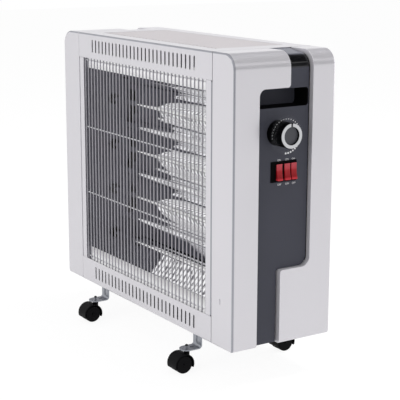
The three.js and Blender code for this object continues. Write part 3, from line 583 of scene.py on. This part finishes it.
bm = bmesh.new()
columns, rows = round(2 * vent_x / mesh_pitch), round((2 * vent_y - margin) / mesh_pitch)
bmesh.ops.create_grid(bm, x_segments=columns, y_segments=rows, size=1)
lie = Matrix.Translation((0, margin / 2, vent_top))
lie = lie @ Matrix.Diagonal((vent_x - vent_gap, vent_y - vent_gap - margin / 2, 1, 1))
bmesh.ops.transform(bm, matrix=lie, verts=bm.verts)
meshed = bm.faces[:]
bmesh.ops.inset_individual(bm, faces=meshed, thickness=mesh_web, use_even_offset=True)
bmesh.ops.delete(bm, geom=meshed, context="FACES")
vent = piece("vent_mesh", bm, "body", "vent_paint", vent_finish, "top_vent")
thicken = vent.modifiers.new("thickness", "SOLIDIFY")
thicken.thickness = vent_sheet / 1000
thicken.offset = -1
vent.modifiers.move(1, 0)
strip = block(rectangle(vent_gap - vent_x, vent_x - vent_gap, vent_gap - vent_y, vent_gap + margin - vent_y), "Z",
              vent_top - vent_sheet, vent_top)
dash = block(rectangle(dash_x, dash_x + dash_length, dash_near - vent_y, dash_far - vent_y, 1.5), "Z",
             vent_top - 2, vent_top + 2)
strip = cut(strip, repeated(dash, [(dash_pitch * i, 0, 0) for i in range(dash_count)]))
piece("vent_edge", strip, "body", "vent_paint", vent_finish, "top_vent")

# Grille. Upright wires of 2.4 mm are welded to four cross wires behind them and plated.
wire_radius, wire_pitch, wire_count = 1.2, 11.3, 36
wire_lap, cross_count, cross_half, cross_inset, cross_behind = 5, 4, 201, 4.5, 2.2
wire_y = front + sheet + fit + wire_radius


def plated(name, low, high, stretch, metallic):
    """Bright plating drawn out along the wire."""
    finish = Finish(bpy.data.materials.new(name))
    streak = finish.noise(900, 3, stretch)
    return finish.shade({
        "Base Color": finish.mix(streak, colour(low), colour(high)), "Metallic": metallic,
        "Roughness": 0.28 + streak * 0.14, "Normal": finish.bump(streak, 0.00003, 0.4)})


wire_finish = plated("plated wire", "9e9ca2", "b4b2b8", (1, 1, 0.05), 0.75)
# Painted highlight: the cross wires are lighter and less metallic than the uprights, for the gleam along their tops.
painted_highlight_wire = plated("painted highlight cross wire", "e6e6ea", "f6f6f8", (0.05, 1, 1), 0.35)


def wire(bm, start, end, radius, sides=12):
    """Adds a round wire from start to end to bm."""
    run = Vector(end) - Vector(start)
    turn = run.to_track_quat("Z", "Y").to_matrix().to_4x4()
    bmesh.ops.create_cone(bm, cap_ends=True, segments=sides, radius1=radius, radius2=radius, depth=run.length,
                          matrix=Matrix.Translation((Vector(start) + Vector(end)) / 2) @ turn)


upright, across = bmesh.new(), bmesh.new()
for i in range(wire_count):
    x = (i - (wire_count - 1) / 2) * wire_pitch
    wire(upright, (x, wire_y, band - wire_lap), (x, wire_y, opening_top + wire_lap), wire_radius)
for i in range(cross_count):
    z = band + cross_inset + (opening_top - band - 2 * cross_inset) * i / (cross_count - 1)
    wire(across, (-cross_half, wire_y + cross_behind, z), (cross_half, wire_y + cross_behind, z), wire_radius)
piece("grille_wires", upright, "body", "plated_wire", wire_finish, "grille", crease=50)
piece("grille_cross_wires", across, "body", "plated_wire", painted_highlight_wire, "grille", crease=50)

# Reflector. One sheet of polished aluminium is rolled into a round trough behind each of the upper
# tubes, with rounded crests between them, a lip at top and bottom and a skirt under the last crest.
tube_count, tube_pitch, tube_middle, tube_y = 4, 83.3, 209.3, -34
trough_y, trough_angle, crest_width = -13, math.radians(59), 12.9
fold_y, fold_drop, skirt_drop, skirt_reach = -4, 2, 52, 28
lip_y, lip_lower, lip_upper, lip_overlap = -85, 64.5, 394.5, 10
reflector_half, reflector_sheet = 201.7, 0.8

mirror = Finish(bpy.data.materials.new("polished aluminium"))
dimples = mirror.add("TexVoronoi", {"feature": "SMOOTH_F1"},
                     {"Vector": mirror.place(), "Scale": 160, "Smoothness": 0.7})
ripple = mirror.noise(90, 2)
smear = mirror.noise(24, 3)
depth = mirror.add("SeparateXYZ", None, {"Vector": mirror.place()}, out=1)
# The lips, at the front of the sheet, are satin and get a painted glow: a white emission that brightens them.
satin_lip_and_painted_glow = (depth * -1).above(0.074)
reflector_finish = mirror.shade({
    "Base Color": mirror.mix(smear, colour("f2f2f4"), colour("fdfdff")), "Metallic": 1 - satin_lip_and_painted_glow * 0.92,
    "Roughness": 0.02 + smear * 0.03 + satin_lip_and_painted_glow * 0.4, "Emission Color": mirror.mix(satin_lip_and_painted_glow, (0, 0, 0, 1), white),
    "Emission Strength": 0.3, "Normal": mirror.bump(dimples * 0.5 + ripple * 0.5, 0.0003, 0.2)})
# Painted shade: the back of the sheet is a dark grey, so that what shows of it through the slots looks dark.
painted_shade_back = grained("painted shade sheet", colour("3a3a3e"), 0.6, 900, 0.00003, 0.2)

trough_radius = (tube_pitch - crest_width) / 2 / math.sin(trough_angle)
crest_radius = crest_width / 2 / math.sin(trough_angle)
lowest = tube_middle - (tube_count - 1) / 2 * tube_pitch
route = [(lip_y, band - lip_overlap), (lip_y, lip_lower)]
for k in range(12, -1, -1):
    share = k / 12
    route.append((fold_y - skirt_reach * share * (0.7 + 0.3 * share), lowest - fold_drop - skirt_drop * share))
for i in range(1, tube_count):
    for k in range(11):
        angle = trough_angle * (k / 5 - 1)
        forward = (trough_radius * (1 - math.cos(trough_angle))
                   + crest_radius * (math.cos(angle) - math.cos(trough_angle)))
        route.append((trough_y - forward, lowest + (i - 0.5) * tube_pitch + crest_radius * math.sin(angle)))
    for k in range(1, 40 if i < tube_count - 1 else 41):
        angle = trough_angle * (k / 20 - 1)
        route.append((trough_y - trough_radius * (1 - math.cos(angle)),
                      lowest + i * tube_pitch + trough_radius * math.sin(angle)))
route += [(lip_y, lip_upper), (lip_y, opening_top + lip_overlap)]
bm = bmesh.new()
verts = [bm.verts.new((-reflector_half, y, z)) for y, z in route]
line = [bm.edges.new(pair) for pair in zip(verts, verts[1:])]
side = bmesh.ops.extrude_edge_only(bm, edges=line)
moved = [g for g in side["geom"] if isinstance(g, bmesh.types.BMVert)]
bmesh.ops.translate(bm, verts=moved, vec=(2 * reflector_half, 0, 0))
bmesh.ops.recalc_face_normals(bm, faces=bm.faces)
if sum(f.normal.y * f.calc_area() for f in bm.faces) > 0:
    bmesh.ops.reverse_faces(bm, faces=bm.faces)
reflector = piece("reflector_sheet", bm, "body", "polished_sheet", [reflector_finish, painted_shade_back], "reflector",
                  crease=20)
thicken = reflector.modifiers.new("thickness", "SOLIDIFY")
thicken.thickness = reflector_sheet / 1000
thicken.offset = -1
thicken.material_offset = 1
thicken.material_offset_rim = 1
reflector.modifiers.move(1, 0)

# Heating tubes. Each is a quartz tube with a brown, mirror-bright coating round a coil of
# resistance wire, held at each end by a black ceramic bush in the side wall.
tube_radius, tube_bore, tube_end = 4.5, 3.6, 211.2
coil_radius, coil_wire, coil_pitch, coil_half = 2.2, 0.3, 4, 142
coil_end, coil_sides, coil_steps = 213.5, 6, 14
bush_face, bush_inner, bush_neck, bush_collar = 201.7, 4.8, 6.3, 9.25

glass = Finish(bpy.data.materials.new("coated quartz"))
cloud = glass.noise(60, 3, (0.2, 1, 1))
tube_finish = glass.shade({
    "Base Color": glass.mix(cloud, colour("c07a48"), colour("d88f5c")), "Roughness": 0.05 + cloud * 0.05,
    "IOR": 9.0, "Specular IOR Level": 1.0, "Specular Tint": colour("fff8ea")})

ember = Finish(bpy.data.materials.new("resistance wire"))
patch = ember.noise(220, 2)
coil_finish = ember.shade({
    "Base Color": ember.mix(patch, colour("5e3c28"), colour("744c34")), "Metallic": 0.6,
    "Roughness": 0.4 + patch * 0.15})

bush_finish = grained("black ceramic", colour("0c0c0e"), 0.55, 1800, 0.00008, 0.4)


def turned(profile, axis, steps=32, closed=True):
    """A profile of radius and place along the axis, turned all round it."""
    bm = bmesh.new()
    verts = [bm.verts.new((radius, 0, place)) for radius, place in profile]
    pairs = list(zip(verts, verts[1:])) + ([(verts[-1], verts[0])] if closed else [])
    line = [bm.edges.new(pair) for pair in pairs]
    bmesh.ops.spin(bm, geom=verts + line, cent=(0, 0, 0), axis=(0, 0, 1), angle=2 * math.pi, steps=steps,
                   use_merge=True)
    bmesh.ops.remove_doubles(bm, verts=bm.verts, dist=0.0005)
    turn = {"X": Matrix.Rotation(math.radians(90), 4, "Y"), "Y": Matrix.Rotation(math.radians(-90), 4, "X"),
            "Z": Matrix.Identity(4)}[axis]
    bmesh.ops.transform(bm, matrix=turn, verts=bm.verts)
    bmesh.ops.recalc_face_normals(bm, faces=bm.faces)
    return bm


def shifted(bm, x=0, y=0, z=0):
    """The shape, moved."""
    bmesh.ops.translate(bm, verts=bm.verts, vec=(x, y, z))
    return bm


for i in range(tube_count):
    number = tube_count - i
    z = tube_middle + (i - (tube_count - 1) / 2) * tube_pitch
    tube = turned([(tube_bore, -tube_end), (tube_radius, -tube_end), (tube_radius, tube_end), (tube_bore, tube_end)],
                  "X", 32)
    piece(f"tube_{number}", shifted(tube, 0, tube_y, z), "body", "quartz_glass", tube_finish, f"quartz_tube_{number}")

    curls = bmesh.new()
    quarter_turn = Matrix.Rotation(math.radians(90), 4, "X")
    bmesh.ops.create_circle(curls, segments=coil_sides, radius=coil_wire,
                            matrix=Matrix.Translation((-coil_half, 0, coil_radius)) @ quarter_turn)
    turns = round(2 * coil_half / coil_pitch)
    steps = turns * coil_steps
    bmesh.ops.spin(curls, geom=curls.verts[:] + curls.edges[:], cent=(0, 0, 0), axis=(1, 0, 0),
                   dvec=(2 * coil_half / steps, 0, 0), angle=2 * math.pi * turns, steps=steps)
    bmesh.ops.holes_fill(curls, edges=[e for e in curls.edges if e.is_boundary], sides=coil_sides)
    bmesh.ops.recalc_face_normals(curls, faces=curls.faces)
    for end in (-1, 1):
        wire(curls, (end * coil_half, 0, coil_radius), (end * coil_end, 0, coil_radius), coil_wire, 8)
    piece(f"coil_{number}", shifted(curls, 0, tube_y, z), "body", "resistance_wire", coil_finish,
          f"heating_coil_{number}", crease=60)

    bush = turned([(bush_inner, bush_face - 5.5), (bush_collar - 0.65, bush_face - 5.5),
                   (bush_collar, bush_face - 4.9), (bush_collar, bush_face), (bush_neck, bush_face),
                   (bush_neck, tube_end), (bush_inner, tube_end)], "X", 32)
    for side, shape in (("left", other_end(bush)), ("right", bush)):
        piece(f"{side}_bush_{number}", shifted(shape, 0, tube_y, z), "body", "black_ceramic", bush_finish,
              f"{side}_tube_holder_{number}", edge=0.4, segments=2)

# Side walls and connections. The heat-dulled steel shields, the brass busbars and the thermostat
# behind them are the part's own solids with their real finishes.
dull = Finish(bpy.data.materials.new("dulled steel"))
haze = dull.noise(18, 4)
fine = dull.noise(700, 3)
shield_finish = dull.shade({
    "Base Color": dull.mix(haze, colour("64646e"), colour("74747e")), "Metallic": 0.2,
    "Roughness": 0.45 + haze * 0.15, "Normal": dull.bump(fine, 0.00005, 0.5)})

bar = Finish(bpy.data.materials.new("brass strip"))
tarnish = bar.noise(90, 4)
brass_finish = bar.shade({
    "Base Color": bar.mix(tarnish, colour("8f6f38"), colour("b8944e")), "Metallic": 1.0,
    "Roughness": 0.25 + tarnish * 0.2})

zinc = Finish(bpy.data.materials.new("zinc plate"))
spangle = zinc.add("TexVoronoi", None, {"Vector": zinc.place(), "Scale": 260}, out=1)
shine = zinc.add("SeparateColor", None, {"Color": spangle})
scuff = zinc.noise(60, 4)
steel_finish = zinc.shade({
    "Base Color": zinc.mix(shine * 0.4 + scuff * 0.6, colour("868990"), colour("a6a9b0")), "Metallic": 0.85,
    "Roughness": 0.24 + scuff * 0.16, "Normal": zinc.bump(scuff, 0.00006, 0.5)})

for names, finish in ((("left_heat_shield", "right_heat_shield"), shield_finish),
                      (("left_busbar", "right_busbar"), brass_finish), (("thermostat",), steel_finish)):
    for name in names:
        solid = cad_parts[name].data
        solid.materials.clear()
        solid.materials.append(finish)

# Thermostat knob. A black satin knob on the thermostat's shaft carries a silver split ring round
# a sunk grey face, and a clear skirt printed with white dots that grow with the heat.
knob_y, knob_z, knob_radius, knob_length = -9.8, 333.6, 19.3, 38
ring_bore, ring_radius, ring_thick, well = 13.9, 18.8, 0.9, 4.2
pointer_half, notch_half = 0.9, 1.5
skirt_x, skirt_bore, skirt_radius, dot_radius = 25, 19.6, 29.5, 26
dots_y, dots_z, dot_count, dot_first, dot_step = -11, 331.9, 28, 184, 10.2
smallest_dot, largest_dot = 0.42, 1.62

knob_finish = grained("satin black", colour("020203"), 0.5, 1400, 0.00003, 0.04)
face_finish = grained("grey knob face", colour("47484f"), 0.4, 1400, 0.00003)
print_finish = grained("white print", colour("f4f4f6"), 0.5, 2200, 0.00001, 0.3, 0.02)
ring_finish = satin_silver("brushed ring", colour("d0d1d4"), 0.45, 0.3, 1500)

knob_face = knob_length - ring_thick - 0.2
profile = [(0, 0.3), (18.6, 0.3), (knob_radius, 0.9), (knob_radius, 4), (19.1, knob_face - 0.4),
           (18.7, knob_face), (ring_bore, knob_face), (ring_bore - 0.2, knob_length - well), (0, knob_length - well)]
knob = turned(profile, "X", 72, closed=False)
mark(knob, lambda spot, way: abs(spot.x - (knob_length - well)) < 0.05)
piece("knob_body", shifted(knob, insert_x, knob_y, knob_z), "knob", "black_plastic", [knob_finish, face_finish],
      "knob", edge=0.4)
pointer = block(rectangle(-pointer_half, pointer_half, ring_bore + 0.3, ring_radius - 0.2, 0.3), "X",
                knob_face - 0.4, knob_face + 0.3)
piece("knob_pointer", shifted(pointer, insert_x, knob_y, knob_z), "knob", "black_plastic", knob_finish, "knob",
      edge=0.2)
ring = turned([(ring_bore, knob_face + 0.2), (ring_radius, knob_face + 0.2), (ring_radius, knob_length),
               (ring_bore, knob_length)], "X", 72)
ring = cut(ring, block(rectangle(-notch_half, notch_half, 0, knob_radius + 2), "X", knob_face, knob_length + 2))
piece("knob_split_ring", shifted(ring, insert_x, knob_y, knob_z), "knob", "bright_ring", ring_finish, "knob_ring",
      edge=0.3)

clear = Finish(bpy.data.materials.new("clear plastic"))
mist = clear.noise(80, 2)
clear_finish = clear.shade({"Base Color": colour("e8eaf0"), "Roughness": 0.04 + mist * 0.04,
                            "Specular IOR Level": 0, "Alpha": 0.01})
skirt_back, skirt_front = skirt_x - 0.6, skirt_x + 0.4
skirt = turned([(skirt_bore, skirt_back), (skirt_radius, skirt_back), (skirt_radius, skirt_front),
                (skirt_bore, skirt_front)], "X", 72)
piece("knob_skirt", shifted(skirt, insert_x, knob_y, knob_z), "knob", "quartz_glass", clear_finish, "knob", edge=0.2)
dots = bmesh.new()
for i in range(dot_count):
    angle = math.radians(dot_first - dot_step * i)
    size = smallest_dot + (largest_dot - smallest_dot) * (i / (dot_count - 1)) ** 1.3
    spot = Matrix.Translation((skirt_front + 0.1, dot_radius * math.cos(angle), dot_radius * math.sin(angle)))
    bmesh.ops.create_cone(dots, cap_ends=True, segments=20, radius1=size, radius2=size, depth=0.16,
                          matrix=spot @ Matrix.Rotation(math.radians(90), 4, "Y"))
piece("dial_dots", shifted(dots, insert_x, dots_y, dots_z), "knob", "silver_plastic", print_finish, "knob")

# Switches. Three red rockers, one apart and two side by side, stand out of one flat black flange,
# which is let into the panel, with ON printed above and OFF below each.
flange_front, flange_rear, flange_foot, flange_head, flange_proud = -20.7, 27.7, 257.2, 289.3, 1.4
rocker_middles, rocker_width, rocker_gap = (-5.5, 9.3, 21.8), 10.2, 0.3
rocker_x, rocker_z, rocker_tilt = 268.2, 272.2, -6
nose, dip, rocker_up, rocker_down, rocker_depth = 3.6, 2.2, 12.8, 13, 3

housing = block(rectangle(flange_front, flange_rear, flange_foot, flange_head, 0.8), "X", insert_x + 0.05,
                insert_x + flange_proud)
for middle_y in rocker_middles:
    half_window = rocker_width / 2 + rocker_gap
    window = rectangle(middle_y - half_window, middle_y + half_window, rocker_z - 14.2, rocker_z + 13.6, 0.5)
    housing = cut(housing, block(window, "X", insert_x - 1, insert_x + 3))
piece("switch_frame", housing, "body", "black_plastic", knob_finish, "switch_housing", edge=0.35, segments=2)

red = Finish(bpy.data.materials.new("red rocker"))
grain = red.noise(300, 2)
swirl = red.noise(25, 2)
# Painted light and shade: the red is lighter towards the top, darker in a band near the bottom and light again along
# the bottom edge, for the lamps' light from above and a highlight on that edge.
up = red.add("SeparateXYZ", None, {"Vector": red.place()}, out=2)
painted_light_rise = red.add("MapRange", None, {"Value": up + swirl * 0.002, "From Min": 0.3245, "From Max": 0.3505})
stops = ((0, "c8343e"), (0.12, "8e0f18"), (0.5, "a3161f"), (0.62, "b83a44"), (1, "c44e58"))
painted_light_tone = red.add("ValToRGB", {"stops": [(share, colour(code)[:3]) for share, code in stops]}, {0: painted_light_rise})
red_finish = red.shade({"Base Color": painted_light_tone, "Roughness": 0.32 + swirl * 0.08, "Specular IOR Level": 0.3,
                        "Normal": red.bump(grain, 0.00003, 0.4)})
for i, middle_y in enumerate(rocker_middles):
    outline = []
    for k in range(13):
        share = k / 6 - 1
        outline.append((dip + (nose - dip) * share ** 2, share * (rocker_up if share > 0 else rocker_down)))
    outline += [(-rocker_depth, rocker_up - 1), (-rocker_depth, 1 - rocker_down)]
    rocker = block(outline, "Y", middle_y - rocker_width / 2, middle_y + rocker_width / 2)
    tilt = Matrix.Translation((rocker_x, 0, rocker_z)) @ Matrix.Rotation(math.radians(rocker_tilt), 4, "Y")
    bmesh.ops.transform(rocker, matrix=tilt, verts=rocker.verts)
    piece(f"rocker_{i + 1}_cap", rocker, f"rocker_{i + 1}", "red_plastic", red_finish, f"rocker_{i + 1}", edge=0.6)


on_shift, on_above, off_shift, off_below, letter_size = 0.6, 1.5, 2, 4.5, 4


def printed(name, words, y, z):
    """A word printed on the right panel, read from outside."""
    text = bpy.data.curves.new(name, "FONT")
    text.body = words
    text.size = letter_size
    text.align_x = "CENTER"
    text.align_y = "CENTER"
    text.extrude = 0.04
    flat = new_object(name, text)
    mesh = bpy.data.meshes.new_from_object(flat.evaluated_get(bpy.context.evaluated_depsgraph_get()))
    bpy.data.objects.remove(flat)
    bm = bmesh.new()
    bm.from_mesh(mesh)
    bpy.data.meshes.remove(mesh)
    stand = Matrix(((0, 0, 1, insert_x + 0.03), (1, 0, 0, y), (0, 1, 0, z), (0, 0, 0, 1)))
    bmesh.ops.transform(bm, matrix=stand, verts=bm.verts)
    piece(name, bm, "body", "silver_plastic", print_finish, crease=20)


for i, middle_y in enumerate(rocker_middles):
    printed(f"on_{i + 1}", "ON", middle_y + on_shift, flange_head + on_above)
    printed(f"off_{i + 1}", "OFF", middle_y + off_shift, flange_foot - off_below)

# Cord gland. A black rubber bush in the rear of the right cap, where the mains lead goes in.
rubber_finish = grained("black rubber", colour("121214"), 0.7, 1600, 0.00008, 0.3)
gland = turned([(3.75, -8.5), (5.25, -8.5), (5.25, 0.3), (7, 0.3), (6.6, 2.6), (5.4, 6), (3.75, 6)], "Y", 32)
piece("gland_bush", shifted(gland, gland_x, rear, gland_z), "body", "black_plastic", rubber_finish, "cord_gland",
      edge=0.3)

# Foot brackets. Under each end a strip of 2.2 mm plated steel is bent down into two round-ended
# feet, with a stiffening bead pressed into each leg.
bracket_x, bracket_half, foot_reach, leg_y, foot_top = 156, 12, 113, 81, -24
plate, bend = 2.2, 4
under = leg_y - plate
bracket_outline = [
    (-foot_reach, foot_top), (-leg_y, foot_top, bend), (-leg_y, -fit, bend), (leg_y, -fit, bend),
    (leg_y, foot_top, bend), (foot_reach, foot_top), (foot_reach, foot_top - plate),
    (under, foot_top - plate, bend + plate), (under, -fit - plate, bend - plate),
    (-under, -fit - plate, bend - plate), (-under, foot_top - plate, bend + plate),
    (-foot_reach, foot_top - plate)]
bracket = block(bracket_outline, "X", bracket_x - bracket_half, bracket_x + bracket_half)
plan = rectangle(bracket_x - bracket_half, bracket_x + bracket_half, -foot_reach, foot_reach, bracket_half - 0.1)
bracket = cut(bracket, block(plan, "Z", foot_top - past, past), "INTERSECT")
groove_half, bead_half, pressed = 2.4, 3.5, 1.1
groove = rectangle(bracket_x - groove_half, bracket_x + groove_half, foot_top + 5, -5.5, 2.2)
bead = rectangle(bracket_x - bead_half, bracket_x + bead_half, foot_top + 4.5, -6, 3)
for end in (-1, 1):
    bracket = cut(bracket, block(groove, "Y", *sorted((end * (leg_y + 1), end * (leg_y - pressed)))))
    bracket = cut(bracket, block(bead, "Y", *sorted((end * (under + 0.2), end * (under - pressed)))), "UNION")
    foot_groove = rectangle(bracket_x - groove_half, bracket_x + groove_half, *sorted((end * 85.5, end * 94)), 2.2)
    bracket = cut(bracket, block(foot_groove, "Z", foot_top - pressed, foot_top + 1))
for side, shape in (("left", other_end(bracket)), ("right", bracket)):
    piece(f"{side}_bracket", shape, "body", "plated_steel", steel_finish, f"{side}_foot_bracket", edge=0.35,
          segments=2)

# Casters. A black hood with two wheels under it swivels on a steel pin through the foot, with
# the wheels' axle behind the pin.
caster_y, trail, axle_z = 101, 11, -47.5
hood_radius, hood_half, hood_cut, web = 17.8, 13, 6, 1.7
boss_radius, boss_top, axle_radius = 4.8, 21, 2
wheel_radius, wheel_bore, wheel_in, wheel_out, wheel_room = 15, 2.3, 2, 12, 0.9
stud_foot, stud_neck, stud_top, stud_radius, stud_waist = -31.3, -23.7, -20.5, 2.3, 1.4

hood_finish = grained("black caster plastic", colour("060608"), 0.5, 1100, 0.00004, 0.08)
wheel_finish = grained("black wheel", colour("050507"), 0.5, 1100, 0.00005, 0.08)
pin_finish = grained("blackened steel", colour("101013"), 0.4, 900, 0.00004, 0.5)

for end_name, end_y in (("front", -caster_y), ("rear", caster_y)):
    for side_name, x in (("left", -bracket_x), ("right", bracket_x)):
        name = f"{end_name}_{side_name}_caster"
        axle = (x, end_y - trail, axle_z)
        hood = turned([(0, -hood_half), (hood_radius, -hood_half), (hood_radius, hood_half), (0, hood_half)], "X", 64,
                      closed=False)
        bmesh.ops.bisect_plane(hood, geom=hood.verts[:] + hood.edges[:] + hood.faces[:], plane_co=(0, 0, -hood_cut),
                               plane_no=(0, 0, 1), clear_inner=True)
        bmesh.ops.holes_fill(hood, edges=[e for e in hood.edges if e.is_boundary])
        bmesh.ops.recalc_face_normals(hood, faces=hood.faces)
        boss = turned([(0, 0), (boss_radius, 0), (boss_radius, boss_top), (0, boss_top)], "Z", 32, closed=False)
        hood = cut(hood, shifted(boss, 0, trail, 0), "UNION")
        for turn in (1, -1):
            room = wheel_radius + wheel_room
            space = turned([(0, turn * web), (room, turn * web), (room, turn * 20), (0, turn * 20)], "X", 64,
                           closed=False)
            hood = cut(hood, space)
        wire(hood, (-hood_half, 0, 0), (hood_half, 0, 0), axle_radius, 24)
        piece(f"{name}_cover", shifted(hood, *axle), f"{name}_swivel", "caster_plastic", hood_finish, f"{name}_hood",
              edge=0.5)
        for letter, turn in (("a", 1), ("b", -1)):
            profile = [(wheel_bore, wheel_in), (14.4, wheel_in), (wheel_radius, wheel_in + 0.8),
                       (wheel_radius, wheel_out - 1.4), (wheel_radius - 1.4, wheel_out), (wheel_bore, wheel_out)]
            wheel = turned([(r, turn * place) for r, place in profile], "X", 64)
            piece(f"{name}_roller_{letter}", shifted(wheel, *axle), f"{name}_roller_{letter}", "caster_wheel",
                  wheel_finish, f"{name}_wheel_{letter}", edge=0.3)
        pin = turned([(0, stud_foot), (stud_radius, stud_foot), (stud_radius, stud_neck), (stud_waist, -23.4),
                      (stud_waist, stud_top), (0, stud_top)], "Z", 32, closed=False)
        piece(f"{name}_stud", shifted(pin, x, end_y, 0), "body", "plated_steel", steel_finish, f"{name}_pin",
              edge=0.2)
        head = turned([(0, -20.6), (2.4, -20.6), (2.6, -20.2), (2.3, -18.6), (1.2, -17.9), (0, -17.8)], "Z", 32,
                      closed=False)
        piece(f"{name}_stud_head", shifted(head, x, end_y, 0), "body", "black_plastic", pin_finish, f"{name}_pin")
